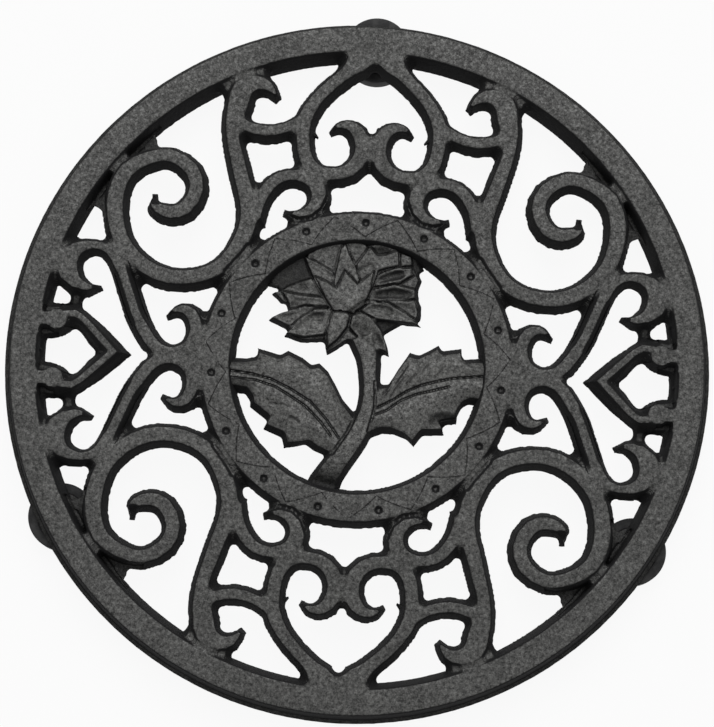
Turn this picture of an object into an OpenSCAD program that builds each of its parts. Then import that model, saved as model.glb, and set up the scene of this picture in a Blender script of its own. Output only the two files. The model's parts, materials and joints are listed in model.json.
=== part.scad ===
// Round cast-iron trivet: a rim and a medallion ring joined by scrollwork,
// a flower in the medallion, and three cast pegs with push-on rubber feet.
// Millimetres, Z up, the feet stand on z = 0, +Y points to the upper heart.

/* [Rim] */
// Outer diameter of the rim at its back edge
rim_d = 200; // [185:1:215]
// Width of the rim's flat top
rim_top_w = 7.6; // [6.8:0.1:8.4]
// Height of the rim from its back to its flat top
rim_h = 9; // [8.2:0.1:9.4]
// How far the rim's inner wall runs out from its top edge to its back
rim_wall_run = 2.4; // [1.8:0.1:2.8]
// How far its outer wall runs out
rim_outer_run = 1.7; // [1.3:0.1:2]
// Height of the upright land along the rim's back edge
land_h = 1.7; // [1:0.1:2.5]
// Step above that land, where the two mould halves meet
land_step = 0.35; // [0.2:0.05:0.5]

/* [Medallion ring] */
// Outer diameter of the ring's flat top
ring_d = 87.2; // [84:0.2:91]
// Width of the ring's flat top
ring_top_w = 7.4; // [6.6:0.1:8.2]
// Diameter of a dimple in the ring's top
dimple_d = 1.9; // [1.2:0.1:2.6]
// Depth of a dimple
dimple_depth = 0.7; // [0.4:0.1:1.2]
// Distance from the ring's outer top edge to a dimple's centre
dimple_inset = 2.5; // [2:0.1:3.5]
// Number of dimples round the ring
dimple_count = 15; // [9:1:21]

/* [Casting] */
// Height of the scrollwork from its flat back to the flat top
cast_h = 6.4; // [5.4:0.1:8]
// How far a sloped wall runs out from its top edge to the back
wall_run = 1.9; // [1.6:0.1:2.1]
// Bevel along every top edge
edge_bevel = 0.45; // [0.3:0.05:0.6]
// Width of a scroll bar's top at full strength
bar_w = 3.9; // [3.5:0.1:4.3]
// Height of the low webs that join a corner scroll to the rim
web_h = 3.8; // [3:0.1:4.4]
// Height of the low link between a chevron and a side scroll
link_h = 4.2; // [3:0.1:5]

/* [Flower] */
// Width of a full petal
petal_w = 6; // [5:0.1:7]
// Rise of a petal's ridge above its edges
petal_rise = 0.7; // [0.4:0.1:1]
// Diameter of the flower's heart
heart_d = 9; // [7:0.2:11]
// Rise of a leaf's crown above its edge
leaf_rise = 1.5; // [0.8:0.1:2]
// Depth of the groove along a leaf's midrib
rib_depth = 0.7; // [0.4:0.1:1]

/* [Feet] */
// Height of the scrollwork's back above the table
foot_h = 10; // [9:0.5:14]
// Diameter of a rubber foot
foot_d = 19; // [17:0.5:21]
// Wall of the rubber round its peg
foot_wall = 2.8; // [2.7:0.1:3.4]
// Thickness of rubber under the peg
foot_floor = 2.4; // [1.8:0.1:3]
// Bare length of peg between the rim and its rubber foot
foot_gap = 0.6; // [0.3:0.1:1]
// How far a foot stands out past the rim
foot_overhang = 2.7; // [2:0.1:2.7]
// Rounding of a rubber foot's edges
foot_round = 1; // [0.5:0.1:1.5]

/* [Hidden] */
$fn = 96;

iron = "#4b4b48";
rubber = "#262729";

rim_r = rim_d / 2;
rim_top_r = rim_r - rim_outer_run;
rim_in_r = rim_top_r - rim_top_w;
ring_r = ring_d / 2;
ring_in_r = ring_r - ring_top_w;
top_z = foot_h + cast_h;
rim_back_z = top_z - rim_h;
peg_d = foot_d - 2 * foot_wall;
foot_r = rim_r + foot_overhang - foot_d / 2;
first_foot_angle = 90;
foot_count = 3;
overrun = cast_h;
round_steps = 6;
ring_steps = 180;
dimple_steps = 24;
heart_steps = 16;

// The pattern is drawn on a disc of radius 1. These are the radii, on that
// drawing, of the ring's bore, the ring's outside and the rim's inside. A
// point moves in or out with them, so the scrolls reach the ring and the
// rim at any size of either.
bore_share = 0.362;
ring_share = 0.436;
rim_share = 0.907;

function between(a, b, share) = a + (b - a) * share;

function placed_r(r) =
    r <= bore_share ? ring_in_r * r / bore_share
    : r <= ring_share ? between(ring_in_r, ring_r, (r - bore_share) / (ring_share - bore_share))
    : between(ring_r, rim_in_r, (r - ring_share) / (rim_share - ring_share));

function placed(p) =
    let (flat = [p.x, p.y], r = norm(flat))
    flat * placed_r(r) / r;

// Strokes of one quarter of the pattern. A row is x, y and width: x and y
// are shares of the rim's radius, the width is a share of bar_w.
corner_scroll_shares = [
    [0.608, 0.456, 0.12], [0.606, 0.436, 0.48], [0.591, 0.419, 0.68],
    [0.555, 0.408, 0.84], [0.514, 0.422, 0.94], [0.485, 0.479, 0.94],
    [0.503, 0.534, 0.94], [0.565, 0.571, 0.86], [0.630, 0.558, 0.88],
    [0.687, 0.519, 1.02], [0.712, 0.453, 1.10], [0.710, 0.390, 1.10],
    [0.690, 0.324, 1.04], [0.642, 0.267, 1.00], [0.578, 0.231, 1.00],
    [0.513, 0.223, 0.96], [0.446, 0.237, 0.94], [0.390, 0.273, 1.00],
    [0.350, 0.336, 1.08], [0.332, 0.402, 1.16], [0.340, 0.460, 1.08],
    [0.357, 0.510, 0.98], [0.375, 0.570, 0.92], [0.392, 0.630, 0.84],
    [0.393, 0.680, 1.10], [0.384, 0.730, 1.40], [0.372, 0.776, 1.42],
    [0.335, 0.796, 0.98], [0.301, 0.788, 0.64], [0.278, 0.763, 0.16]];
heart_scroll_shares = [
    [0.037, 0.950, 1.80], [0.037, 0.925, 1.80], [0.040, 0.890, 1.95],
    [0.076, 0.846, 0.92], [0.121, 0.804, 0.80],
    [0.164, 0.755, 0.82], [0.193, 0.695, 0.98], [0.193, 0.642, 0.88],
    [0.183, 0.590, 0.90], [0.154, 0.552, 0.98], [0.105, 0.545, 0.80],
    [0.055, 0.560, 0.92], [0.024, 0.605, 1.04], [0.028, 0.653, 1.00],
    [0.056, 0.685, 0.72], [0.088, 0.688, 0.44], [0.110, 0.674, 0.12]];
side_scroll_shares = [
    [0.746, 0.186, 0.14], [0.769, 0.179, 0.44], [0.808, 0.192, 0.86],
    [0.838, 0.240, 1.56], [0.812, 0.286, 0.94], [0.760, 0.301, 0.50],
    [0.713, 0.286, 0.68], [0.680, 0.235, 0.84], [0.635, 0.120, 0.88],
    [0.602, 0.060, 0.78], [0.563, 0.016, 0.80], [0.515, 0.005, 0.88],
    [0.472, 0.030, 0.88], [0.459, 0.080, 0.80], [0.475, 0.122, 0.78],
    [0.507, 0.134, 0.48], [0.540, 0.120, 0.14]];
heart_tie_shares = [
    [0.195, 0.700, 0.68], [0.240, 0.672, 0.66], [0.300, 0.658, 0.70],
    [0.360, 0.670, 0.68], [0.385, 0.690, 0.68]];
hook_curl_shares = [
    [0.226, 0.428, 0.30], [0.200, 0.423, 0.44], [0.162, 0.436, 0.64],
    [0.137, 0.476, 1.02], [0.154, 0.520, 1.00], [0.204, 0.536, 0.70],
    [0.252, 0.526, 0.74], [0.282, 0.498, 0.78], [0.305, 0.456, 0.80],
    [0.315, 0.410, 0.80]];
chevron_shares = [
    [0.664, -0.025, 0.90], [0.691, 0.000, 0.90], [0.740, 0.049, 0.78],
    [0.774, 0.081, 0.58], [0.806, 0.097, 0.84], [0.845, 0.090, 1.60],
    [0.886, 0.082, 1.70], [0.925, 0.080, 1.70]];
// Where a corner scroll's shoulder and its head lie close along the rim
shoulder_web_shares = [
    [0.644, 0.630, 0.90], [0.680, 0.586, 1.00], [0.722, 0.526, 1.00], [0.770, 0.440, 0.90]];
head_web_shares = [
    [0.430, 0.790, 0.80], [0.380, 0.816, 1.00], [0.320, 0.838, 0.90]];
web_back_share = 0.2;
tip_run_share = 0.55;
full_run_w_share = 0.7;
link_shares = [[0.806, 0.110, 0.32], [0.806, 0.140, 0.32], [0.806, 0.180, 0.32]];
stem_shares = [
    [0.010, 0.085, 1.30], [0.030, 0.035, 1.02], [0.036, -0.020, 0.74],
    [0.041, -0.070, 0.76], [0.037, -0.125, 0.90], [0.019, -0.175, 1.02],
    [-0.005, -0.220, 1.06], [-0.038, -0.270, 1.16], [-0.074, -0.330, 1.38],
    [-0.092, -0.375, 1.50]];

// Leaf edges and midribs, from the stem out to the ring. The two edges of a
// leaf have the same number of points.
left_leaf_upper_shares = [
    [0.002, -0.150], [-0.036, -0.105], [-0.056, -0.069], [-0.080, -0.030], [-0.106, -0.007],
    [-0.128, -0.013], [-0.154, 0.005], [-0.195, 0.024], [-0.218, 0.010], [-0.278, 0.027],
    [-0.284, 0.003], [-0.320, -0.004], [-0.375, -0.006]];
left_leaf_lower_shares = [
    [-0.066, -0.242], [-0.094, -0.230], [-0.118, -0.214], [-0.150, -0.220], [-0.182, -0.225],
    [-0.191, -0.195], [-0.243, -0.176], [-0.235, -0.150], [-0.283, -0.116], [-0.286, -0.098],
    [-0.305, -0.075], [-0.335, -0.068], [-0.375, -0.060]];
left_leaf_rib_shares = [
    [-0.020, -0.215], [-0.080, -0.140], [-0.150, -0.085], [-0.250, -0.045], [-0.375, -0.030]];
right_leaf_upper_shares = [
    [0.040, -0.062], [0.085, -0.053], [0.110, -0.010], [0.130, 0.020], [0.143, 0.039],
    [0.170, 0.033], [0.200, 0.050], [0.224, 0.065], [0.238, 0.049], [0.289, 0.060],
    [0.295, 0.043], [0.308, 0.033], [0.375, 0.036]];
right_leaf_lower_shares = [
    [0.025, -0.190], [0.075, -0.165], [0.105, -0.165], [0.143, -0.178], [0.167, -0.197],
    [0.190, -0.164], [0.250, -0.160], [0.238, -0.134], [0.284, -0.124], [0.288, -0.102],
    [0.303, -0.077], [0.325, -0.066], [0.375, -0.068]];
right_leaf_rib_shares = [
    [0.030, -0.135], [0.100, -0.093], [0.180, -0.040], [0.270, -0.012], [0.375, -0.004]];
leaf_edge_share = 0.62;
leaf_crown_share = 0.5;

// Petals: tip x and y, root x and y, width as a share of petal_w, and the
// height of the petal's edge as a share of cast_h.
petal_shares = [
    [0.063, 0.375, 0.010, 0.270, 1.40, 0.55], [-0.018, 0.375, -0.022, 0.260, 1.00, 0.50],
    [-0.125, 0.350, -0.070, 0.260, 1.15, 0.55], [-0.058, 0.362, -0.052, 0.260, 0.90, 0.66],
    [-0.240, 0.212, -0.110, 0.200, 0.70, 0.52], [-0.215, 0.240, -0.110, 0.212, 0.70, 0.58],
    [-0.254, 0.126, -0.090, 0.170, 0.92, 0.52], [0.174, 0.166, 0.020, 0.195, 0.70, 0.52],
    [0.178, 0.224, 0.010, 0.210, 0.85, 0.52], [0.137, 0.293, 0.035, 0.260, 0.75, 0.60],
    [0.168, 0.258, 0.020, 0.235, 0.75, 0.66], [-0.217, 0.178, -0.090, 0.185, 0.75, 0.66],
    [0.176, 0.132, -0.010, 0.168, 1.00, 0.70], [0.083, 0.046, -0.020, 0.135, 1.10, 0.66],
    [-0.206, 0.090, -0.080, 0.148, 1.05, 0.68], [-0.164, 0.309, -0.065, 0.235, 1.10, 0.74],
    [-0.138, 0.256, -0.060, 0.205, 1.00, 0.84], [-0.054, 0.283, -0.050, 0.205, 0.80, 0.84],
    [0.029, 0.282, -0.040, 0.190, 1.10, 0.84], [-0.090, 0.044, -0.055, 0.165, 0.95, 0.84],
    [-0.215, 0.290, -0.095, 0.215, 1.00, 0.36], [0.152, 0.332, 0.060, 0.255, 0.80, 0.36]];
petal_shoulder_share = 0.5;
petal_root_w_share = 0.5;
petal_neck_share = 0.8;
heart_place_shares = [-0.048, 0.192];
heart_height_share = 0.9;
heart_top_d_share = 0.7;

stem_height_share = 0.86;
dimple_tip_share = 0.33;
dimple_mouth_share = 0.25;

curve_steps = 2;
bend_reach_share = 0.7;
least_turn_share = 0.001;
stem_h = cast_h * stem_height_share;

// A smooth curve through hand-placed points. The spacing of its knots is the
// square root of the distance, which keeps it from looping at close points.
function knot(t, a, b) = t + sqrt(norm([b.x - a.x, b.y - a.y]));
function blend(a, b, ta, tb, t) = a * (tb - t) / (tb - ta) + b * (t - ta) / (tb - ta);
function on_curve(p0, p1, p2, p3, share) =
    let (t0 = 0, t1 = knot(t0, p0, p1), t2 = knot(t1, p1, p2), t3 = knot(t2, p2, p3))
    let (t = between(t1, t2, share))
    let (a1 = blend(p0, p1, t0, t1, t), a2 = blend(p1, p2, t1, t2, t), a3 = blend(p2, p3, t2, t3, t))
    let (b1 = blend(a1, a2, t0, t2, t), b2 = blend(a2, a3, t1, t3, t))
    blend(b1, b2, t1, t2, t);
function curve(points, steps) =
    let (last = len(points) - 1)
    let (ends = [2 * points[0] - points[1], 2 * points[last] - points[last - 1]])
    let (all = [ends[0], each points, ends[1]])
    [for (i = [1 : last]) for (s = [0 : steps - 1])
        on_curve(all[i - 1], all[i], all[i + 1], all[i + 2], s / steps), points[last]];

function unit(v) = v / norm(v);
function heading(points, i) =
    let (a = points[max(i - 1, 0)], b = points[min(i + 1, len(points) - 1)])
    unit([b.x - a.x, b.y - a.y]);

// Skin over a row of closed sections that all have the same number of points.
function skin_faces(rings, sides) = [
    for (i = [0 : rings - 2]) for (j = [0 : sides - 1])
        let (k = (j + 1) % sides, a = i * sides, b = a + sides)
        each [[a + j, b + j, b + k], [a + j, b + k, a + k]]];
function fan(first, hub, sides, turn) = [
    for (j = [1 : sides - 2])
        let (b = first + (hub + j) % sides, c = first + (hub + j + 1) % sides)
        turn ? [first + hub, c, b] : [first + hub, b, c]];

// How far the inner side of a bend reaches before its sections would cross
function bend_limit(points, i) =
    let (last = len(points) - 1, a = points[max(i - 1, 0)], b = points[min(i + 1, last)])
    let (turn = cross(heading(points, max(i - 1, 0)), heading(points, min(i + 1, last))))
    let (radius = norm([b.x - a.x, b.y - a.y]) / max(abs(turn), least_turn_share))
    [sign(turn), radius * bend_reach_share];

// Section of a bar across its run: sloped walls, bevelled top edges. At the
// two ends the walls also slope outward along the run, and they steepen where
// the bar narrows to a tip. A cutter goes on straight above and below.
function bar_rows(height, over) =
    let (rise = [[wall_run, 0], [edge_bevel, height - edge_bevel], [0, height]])
    over > 0 ? [[wall_run, -over], each rise, [0, height + over]] : rise;
function bar_section(points, i, rows, least) =
    let (p = points[i], along = heading(points, i), side = [-along.y, along.x])
    let (limit = bend_limit(points, i), end = i == 0 ? -1 : i == len(points) - 1 ? 1 : 0)
    let (count = len(rows), run = between(tip_run_share, 1, min(1, p.z / (bar_w * full_run_w_share))))
    [for (j = [0 : 2 * count - 1])
        let (left = j < count, row = left ? rows[j] : rows[2 * count - 1 - j])
        let (out = p.z / 2 + run * row[0], turned = left ? 1 : -1)
        let (reach = turned == limit[0] ? min(out, limit[1]) : out)
        let (at = [p.x, p.y] + side * turned * reach + along * end * run * row[0])
        [max(at.x, least.x), max(at.y, least.y), row[1]]];

module bar(shares, height = cast_h, over = 0, least = [-rim_d, -rim_d], back = 0) {
    rough = [for (p = shares) let (at = placed(p)) [at.x, at.y, p.z * bar_w]];
    run = curve(rough, curve_steps);
    last = len(run) - 1;
    rows = bar_rows(height, over);
    sides = 2 * len(rows);
    tail = last * sides;
    points = [for (i = [0 : last]) each bar_section(run, i, rows, least)];
    caps = [for (j = [0 : len(rows) - 2])
        let (a = j, b = j + 1, c = sides - 2 - j, d = sides - 1 - j)
        each [[a, b, c], [a, c, d], [tail + c, tail + b, tail + a], [tail + d, tail + c, tail + a]]];
    translate([0, 0, foot_h + back])
        polyhedron(points, [each skin_faces(last + 1, sides), each caps]);
}

// Keeps the part of its children beyond the mirror plane y = 0
module beyond_y() {
    intersection() {
        children();
        translate([-rim_d, 0, -overrun])
            cube([2 * rim_d, rim_d, top_z + 2 * overrun]);
    }
}

// Quarter 0 is the upper right one, and the others are its mirror images
module in_quarter(q) {
    mirror([q == 1 || q == 2 ? 1 : 0, 0, 0])
        mirror([0, q > 1 ? 1 : 0, 0])
            children();
}

module ring_band(over = 0) {
    inner = ring_in_r;
    outer = ring_r;
    shoulder_z = cast_h - edge_bevel;
    translate([0, 0, foot_h])
        rotate_extrude($fn = ring_steps)
            polygon([[inner - wall_run, -over], [inner - wall_run, 0], [inner - edge_bevel, shoulder_z],
                [inner, cast_h], [inner, cast_h + over], [outer, cast_h + over], [outer, cast_h],
                [outer + edge_bevel, shoulder_z], [outer + wall_run, 0], [outer + wall_run, -over]]);
}

// The rim's inner wall, and its top and outer wall with the mould's parting step
module rim_band(over = 0) {
    shoulder_z = rim_h - edge_bevel;
    back_r = rim_in_r - rim_wall_run;
    translate([0, 0, rim_back_z])
        rotate_extrude($fn = ring_steps)
            polygon([[back_r, -over], [back_r, 0], [rim_in_r - edge_bevel, shoulder_z],
                [rim_in_r, rim_h], [rim_in_r, rim_h + over], [rim_top_r, rim_h + over],
                [rim_top_r, rim_h], [rim_top_r + edge_bevel, shoulder_z],
                [rim_r - land_step, land_h], [rim_r, land_h], [rim_r, 0], [rim_r, -over]]);
}

module rim() {
    color(iron) rim_band();
}

module medallion_ring() {
    color(iron)
        difference() {
            ring_band();
            for (i = [0 : dimple_count - 1])
                rotate(first_foot_angle + i * 360 / dimple_count)
                    translate([ring_r - dimple_inset, 0, top_z - dimple_depth])
                        cylinder(d1 = dimple_d * dimple_tip_share, d2 = dimple_d,
                            h = dimple_depth * (1 + dimple_mouth_share), $fn = dimple_steps);
        }
}

module corner_scroll() {
    color(iron)
        difference() {
            union() {
                bar(corner_scroll_shares);
                bar(shoulder_web_shares, web_h, back = cast_h * web_back_share);
                bar(head_web_shares, web_h, back = cast_h * web_back_share);
            }
            rim_band(overrun);
            ring_band(overrun);
        }
}

module heart_scroll() {
    color(iron)
        difference() {
            bar(heart_scroll_shares, least = [0, -rim_d]);
            rim_band(overrun);
        }
}

module side_scroll() {
    color(iron)
        difference() {
            bar(side_scroll_shares, least = [-rim_d, 0]);
            bar(corner_scroll_shares, over = overrun);
            rim_band(overrun);
            ring_band(overrun);
        }
}

module heart_tie() {
    color(iron)
        difference() {
            bar(heart_tie_shares);
            bar(heart_scroll_shares, over = overrun);
            bar(corner_scroll_shares, over = overrun);
        }
}

module hook_curl() {
    color(iron)
        difference() {
            bar(hook_curl_shares);
            bar(heart_scroll_shares, over = overrun);
            bar(corner_scroll_shares, over = overrun);
            ring_band(overrun);
        }
}

module chevron_arm() {
    difference() {
        union() {
            beyond_y() bar(chevron_shares);
            bar(link_shares, link_h);
        }
        bar(side_scroll_shares, over = overrun);
        rim_band(overrun);
    }
}

module chevron() {
    color(iron) {
        chevron_arm();
        mirror([0, 1, 0]) chevron_arm();
    }
}

// A petal is a low roof over a pointed outline, with sloped walls below it
module petal(row) {
    tip = placed([row[0], row[1]]);
    root = placed([row[2], row[3]]);
    along = unit(tip - root);
    side = [-along.y, along.x];
    half = row[4] * petal_w / 2;
    edge_z = foot_h + cast_h * row[5];
    middle = between(root, tip, petal_shoulder_share);
    neck = between(root, tip, petal_neck_share);
    narrow = side * half * petal_root_w_share;
    wide = side * half;
    outline = [root + narrow, middle + wide, neck + narrow, tip,
        neck - narrow, middle - wide, root - narrow];
    run = side * wall_run;
    skirt = [outline[0] + run, outline[1] + run, outline[2] + run, tip + along * wall_run,
        outline[4] - run, outline[5] - run, outline[6] - run];
    ridge = [root, middle];
    points = [for (p = skirt) [p.x, p.y, foot_h], for (p = outline) [p.x, p.y, edge_z],
        for (p = ridge) [p.x, p.y, edge_z + petal_rise]];
    hull() polyhedron(points, [[for (i = [0 : len(points) - 1]) i]]);
}

module petals() {
    for (row = petal_shares) petal(row);
    heart = placed(heart_place_shares);
    translate([heart.x, heart.y, foot_h])
        hull() cylinder(d1 = heart_d, d2 = heart_d * heart_top_d_share,
            h = cast_h * heart_height_share, $fn = heart_steps);
}

module flower_head() {
    color(iron)
        difference() {
            petals();
            ring_band(overrun);
            bar(stem_shares, stem_h, overrun);
        }
}

module flower_stem() {
    color(iron)
        difference() {
            bar(stem_shares, stem_h);
            ring_band(overrun);
        }
}

// A leaf: two crowned halves that fall to the midrib groove and to the edge
module leaf(upper_shares, lower_shares, rib_shares) {
    upper = [for (p = upper_shares) placed(p)];
    lower = [for (p = lower_shares) placed(p)];
    rough = [for (p = rib_shares) let (at = placed(p)) [at.x, at.y, 0]];
    last = len(upper) - 1;
    rib = curve(rough, last / (len(rough) - 1));
    edge_z = cast_h * leaf_edge_share;
    points = [for (i = [0 : last])
        let (r = [rib[i].x, rib[i].y], a = upper[i], b = lower[i])
        let (a_foot = a + unit(a - r) * wall_run, b_foot = b + unit(b - r) * wall_run)
        let (a_crown = between(r, a, leaf_crown_share), b_crown = between(r, b, leaf_crown_share))
        each [[a_foot.x, a_foot.y, 0], [a.x, a.y, edge_z], [a_crown.x, a_crown.y, edge_z + leaf_rise],
            [r.x, r.y, edge_z + leaf_rise - rib_depth],
            [b_crown.x, b_crown.y, edge_z + leaf_rise], [b.x, b.y, edge_z], [b_foot.x, b_foot.y, 0]]];
    sides = 7;
    hub = 3;
    translate([0, 0, foot_h])
        polyhedron(points, [each skin_faces(last + 1, sides), each fan(0, hub, sides, false),
            each fan(last * sides, hub, sides, true)]);
}

module leaf_left() {
    color(iron)
        difference() {
            leaf(left_leaf_lower_shares, left_leaf_upper_shares, left_leaf_rib_shares);
            bar(stem_shares, stem_h, overrun);
            ring_band(overrun);
        }
}

module leaf_right() {
    color(iron)
        difference() {
            leaf(right_leaf_upper_shares, right_leaf_lower_shares, right_leaf_rib_shares);
            bar(stem_shares, stem_h, overrun);
            ring_band(overrun);
        }
}

module at_foot(i) {
    rotate(first_foot_angle + i * 360 / foot_count)
        translate([foot_r, 0, 0])
            children();
}

module foot_peg() {
    color(iron)
        translate([0, 0, foot_floor])
            cylinder(d = peg_d, h = rim_back_z - foot_floor);
}

module rubber_foot() {
    mouth_z = rim_back_z - foot_gap;
    color(rubber)
        rotate_extrude()
            polygon([[0, 0], each round_corner([foot_d / 2, 0], -90),
                each round_corner([foot_d / 2, mouth_z], 0),
                [peg_d / 2, mouth_z], [peg_d / 2, foot_floor], [0, foot_floor]]);
}

// Quarter arc in a profile's outer corner, starting at the given angle
function round_corner(corner, start) =
    let (up = start < 0 ? 1 : -1, centre = corner + [-foot_round, up * foot_round])
    [for (i = [0 : round_steps])
        let (a = start + i * 90 / round_steps)
        centre + foot_round * [cos(a), sin(a)]];

rim();
medallion_ring();
in_quarter(0) corner_scroll();  // corner_scroll_1
in_quarter(1) corner_scroll();  // corner_scroll_2
in_quarter(2) corner_scroll();  // corner_scroll_3
in_quarter(3) corner_scroll();  // corner_scroll_4
in_quarter(0) heart_scroll();  // heart_scroll_1
in_quarter(1) heart_scroll();  // heart_scroll_2
in_quarter(2) heart_scroll();  // heart_scroll_3
in_quarter(3) heart_scroll();  // heart_scroll_4
in_quarter(0) side_scroll();  // side_scroll_1
in_quarter(1) side_scroll();  // side_scroll_2
in_quarter(2) side_scroll();  // side_scroll_3
in_quarter(3) side_scroll();  // side_scroll_4
in_quarter(0) heart_tie();  // heart_tie_1
in_quarter(1) heart_tie();  // heart_tie_2
in_quarter(2) heart_tie();  // heart_tie_3
in_quarter(3) heart_tie();  // heart_tie_4
in_quarter(0) hook_curl();  // hook_curl_1
in_quarter(1) hook_curl();  // hook_curl_2
in_quarter(2) hook_curl();  // hook_curl_3
in_quarter(3) hook_curl();  // hook_curl_4
chevron();  // chevron_right
mirror([1, 0, 0]) chevron();  // chevron_left
flower_head();
flower_stem();
leaf_left();
leaf_right();
at_foot(0) foot_peg();  // foot_peg_1
at_foot(1) foot_peg();  // foot_peg_2
at_foot(2) foot_peg();  // foot_peg_3
at_foot(0) rubber_foot();  // rubber_foot_1
at_foot(1) rubber_foot();  // rubber_foot_2
at_foot(2) rubber_foot();  // rubber_foot_3
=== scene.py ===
import json
import math

import bpy
import numpy as np
from mathutils import Matrix, Vector

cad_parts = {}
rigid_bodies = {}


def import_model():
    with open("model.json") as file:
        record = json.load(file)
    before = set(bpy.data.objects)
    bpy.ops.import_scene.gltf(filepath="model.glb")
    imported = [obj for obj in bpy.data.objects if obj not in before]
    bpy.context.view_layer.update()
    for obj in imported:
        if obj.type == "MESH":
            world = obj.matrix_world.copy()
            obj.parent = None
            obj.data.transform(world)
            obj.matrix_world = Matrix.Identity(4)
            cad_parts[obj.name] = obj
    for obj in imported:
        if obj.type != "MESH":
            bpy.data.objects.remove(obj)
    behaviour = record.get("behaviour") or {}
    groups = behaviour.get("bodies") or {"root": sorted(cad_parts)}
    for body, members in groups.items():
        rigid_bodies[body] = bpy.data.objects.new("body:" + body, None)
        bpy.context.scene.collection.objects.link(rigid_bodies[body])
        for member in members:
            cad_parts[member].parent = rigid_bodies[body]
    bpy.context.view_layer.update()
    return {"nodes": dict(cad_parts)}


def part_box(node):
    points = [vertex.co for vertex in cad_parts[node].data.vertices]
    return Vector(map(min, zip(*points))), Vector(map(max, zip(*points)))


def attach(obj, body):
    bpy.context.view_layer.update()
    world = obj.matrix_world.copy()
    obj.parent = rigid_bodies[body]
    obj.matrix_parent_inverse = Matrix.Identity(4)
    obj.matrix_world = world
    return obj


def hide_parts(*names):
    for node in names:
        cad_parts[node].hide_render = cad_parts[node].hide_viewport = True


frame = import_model()
mm = 0.001
print("frame loaded:", len(frame["nodes"]), "nodes")

# sizes of the casting that the pieces below follow, read from the frame
rimLow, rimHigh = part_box("rim")
ringLow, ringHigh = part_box("medallion_ring")
castBack = ringLow[2]
rimBack = rimLow[2]                 # the rim is deeper than the scrollwork
castTop = rimHigh[2]
castHeight = castTop - castBack
rimRadius = rimHigh[0]
rimInside = rimRadius - 9.9 * mm    # the rim's inner wall
ringRadius = ringHigh[0]            # at the back, where the walls have spread
ringBore = ringRadius - 12.2 * mm


def deselect():
    if bpy.context.object and bpy.context.object.mode != "OBJECT":
        bpy.ops.object.mode_set(mode="OBJECT")
    bpy.ops.object.select_all(action="DESELECT")


def pick(piece):
    deselect()
    piece.select_set(True)
    bpy.context.view_layer.objects.active = piece


def finish(piece, kind, **settings):
    # adds a modifier and applies it at once
    pick(piece)
    modifier = piece.modifiers.new(kind.lower(), kind)
    for key, value in settings.items():
        setattr(modifier, key, value)
    bpy.ops.object.modifier_apply(modifier=modifier.name)


def bevel(piece, width, segments, degrees):
    # rounds the edges at which the surface turns by more than an angle
    finish(piece, "BEVEL", width=width, segments=segments, limit_method="ANGLE",
           angle_limit=math.radians(degrees))


def shadeSmooth(piece, degrees):
    pick(piece)
    bpy.ops.object.shade_smooth_by_angle(angle=math.radians(degrees))


def rename(piece, name):
    piece.name = name
    piece.data.name = name


def copyOf(nodes, name):
    # copies of some CAD nodes as one piece, with doubled vertices merged
    deselect()
    for node in nodes:
        frame["nodes"][node].select_set(True)
    bpy.context.view_layer.objects.active = frame["nodes"][nodes[0]]
    bpy.ops.object.duplicate()
    piece = bpy.context.object
    if len(nodes) > 1:
        bpy.ops.object.join()
    rename(piece, name)
    piece.data.materials.clear()
    bpy.ops.object.parent_clear(type="CLEAR_KEEP_TRANSFORM")
    bpy.ops.object.transform_apply(location=True, rotation=True, scale=True)
    bpy.ops.object.mode_set(mode="EDIT")
    bpy.ops.mesh.select_all(action="SELECT")
    bpy.ops.mesh.remove_doubles(threshold=0.002 * mm)
    bpy.ops.object.mode_set(mode="OBJECT")
    return piece


def clouds(name, size, depth):
    texture = bpy.data.textures.new(name, "CLOUDS")
    texture.noise_scale = size
    texture.noise_depth = depth
    texture.noise_basis = "ORIGINAL_PERLIN"
    return texture


sandCast = {
    "overlap": 0.15 * mm,        # how far neighbours grow into each other before they fuse
    "fillet": 0.65 * mm,         # rounding in the corners where members meet
    "softening": 6,              # passes that round the sharp edges
    "ripple": 0.12 * mm,         # slow waviness of the poured faces
    "rippleSize": 4 * mm,
    "grain": 0.13 * mm,          # fine pebbles left by the sand
    "grainSize": 0.8 * mm,
    "mostTriangles": 194000,
    "smoothAngle": 70,
}
rippleTexture = clouds("sandRipple", sandCast["rippleSize"], 1)
grainTexture = clouds("sandGrain", sandCast["grainSize"], 2)


def points(piece):
    table = np.empty(len(piece.data.vertices) * 3)
    piece.data.vertices.foreach_get("co", table)
    return table.reshape(-1, 3)


def setPoints(piece, table):
    piece.data.vertices.foreach_set("co", table.ravel())
    piece.data.update()


def fuse(piece, voxel, fillet):
    # joins the members into one skin and rounds the corners between them
    overlap = sandCast["overlap"]
    finish(piece, "DISPLACE", direction="NORMAL", mid_level=0, strength=overlap)
    finish(piece, "REMESH", mode="VOXEL", voxel_size=voxel)
    finish(piece, "DISPLACE", direction="NORMAL", mid_level=0, strength=fillet - overlap)
    finish(piece, "REMESH", mode="VOXEL", voxel_size=voxel)
    finish(piece, "DISPLACE", direction="NORMAL", mid_level=0, strength=-fillet)
    finish(piece, "SMOOTH", factor=0.5, iterations=sandCast["softening"])


def roughen(piece, share=1.0):
    for texture, depth in ((rippleTexture, sandCast["ripple"]), (grainTexture, sandCast["grain"])):
        finish(piece, "DISPLACE", texture=texture, texture_coords="LOCAL", direction="NORMAL",
               mid_level=1, strength=depth * share)


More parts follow.
